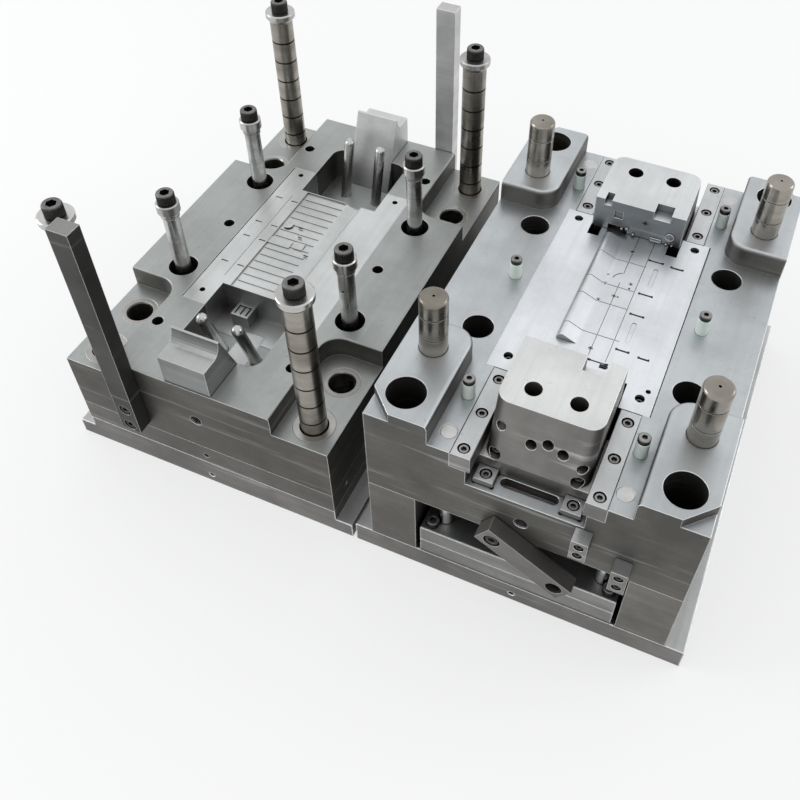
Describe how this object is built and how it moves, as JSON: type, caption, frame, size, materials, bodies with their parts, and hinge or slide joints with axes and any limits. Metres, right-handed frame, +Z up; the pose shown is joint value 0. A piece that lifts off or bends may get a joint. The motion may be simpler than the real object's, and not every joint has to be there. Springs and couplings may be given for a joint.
{
  "type": "injection mould",
  "caption": "Opened steel injection mould: cavity half with support pins, pullers and latch bars, core half with guide pins, side sliders, stepped corner locks and ejector plates.",
  "frame": {"origin": "on the bench, midway between the two open halves", "axes": "+X from the cavity half to the core half, +Y from the front faces to the rear faces, +Z up"},
  "size_m": [0.9064, 0.644, 0.455],
  "materials": {
    "ground_steel": "ground",
    "insert_steel": "fine ground",
    "hardened_steel": "ground",
    "pin_steel": "polished",
    "dark_steel": "milled",
    "black_oxide": "black oxide",
    "nylon": "satin"
  },
  "bodies": {
    "base": {"cavity_clamp_plate": "ground_steel", "sprue_bush": "hardened_steel", "support_pins": "pin_steel", "stop_collars": "hardened_steel", "stop_screws": "black_oxide", "core_clamp_plate": "ground_steel", "spacer_block_left": "ground_steel", "spacer_block_right": "ground_steel", "core_plate": "ground_steel", "core_insert": "insert_steel", "core_insert_screws": "black_oxide", "guide_pins": "pin_steel", "gib_front_left": "hardened_steel", "gib_front_right": "hardened_steel", "gib_rear_left": "hardened_steel", "gib_rear_right": "hardened_steel", "gib_screws": "black_oxide", "stop_blocks": "hardened_steel", "stop_block_screws": "black_oxide", "friction_pullers": "nylon", "friction_puller_screws": "black_oxide", "latch_keepers": "hardened_steel", "keeper_screws": "black_oxide", "base_screws": "black_oxide", "strap_bolt": "black_oxide"},
    "runner_plate_group": {"runner_plate": "ground_steel", "puller_sleeves": "pin_steel", "puller_screws": "black_oxide", "runner_limit_bolts": "black_oxide"},
    "cavity_plate_group": {"cavity_plate": "ground_steel", "cavity_insert": "insert_steel", "cavity_core_block": "insert_steel", "guide_bushes": "hardened_steel", "support_pin_bushes": "hardened_steel", "heel_block_front": "hardened_steel", "heel_block_rear": "hardened_steel", "angle_pins_front": "pin_steel", "angle_pins_rear": "pin_steel", "latch_bar_front": "ground_steel", "latch_bar_rear": "ground_steel", "latch_bar_screws": "black_oxide"},
    "ejector_group": {"ejector_base_plate": "ground_steel", "ejector_retainer_plate": "ground_steel", "return_pins": "pin_steel", "ejector_pins": "pin_steel", "ejector_screws": "black_oxide"},
    "slider_front_group": {"slider_front": "insert_steel", "toe_screws_front": "black_oxide"},
    "slider_rear_group": {"slider_rear": "insert_steel", "toe_screws_rear": "black_oxide"},
    "strap": {"safety_strap": "dark_steel"}
  },
  "joints": [
    {"name": "runner_plate_slide", "type": "slide", "parent": "base", "child": "runner_plate_group", "axis": [0, 0, 1], "range_m": [0, 0.01]},
    {"name": "cavity_plate_slide", "type": "slide", "parent": "runner_plate_group", "child": "cavity_plate_group", "axis": [0, 0, 1], "range_m": [0, 0.138]},
    {"name": "ejector_slide", "type": "slide", "parent": "base", "child": "ejector_group", "axis": [0, 0, 1], "range_m": [0, 0.05]},
    {"name": "slider_front_slide", "type": "slide", "parent": "base", "child": "slider_front_group", "axis": [0, 1, 0], "range_m": [0, 0.027]},
    {"name": "slider_rear_slide", "type": "slide", "parent": "base", "child": "slider_rear_group", "axis": [0, -1, 0], "range_m": [0, 0.027]},
    {"name": "strap_pivot", "type": "hinge", "parent": "base", "child": "strap", "pos_m": [0.20125, -0.311, 0.164], "axis": [0, 1, 0], "range_deg": [-36, 274]}
  ]
}
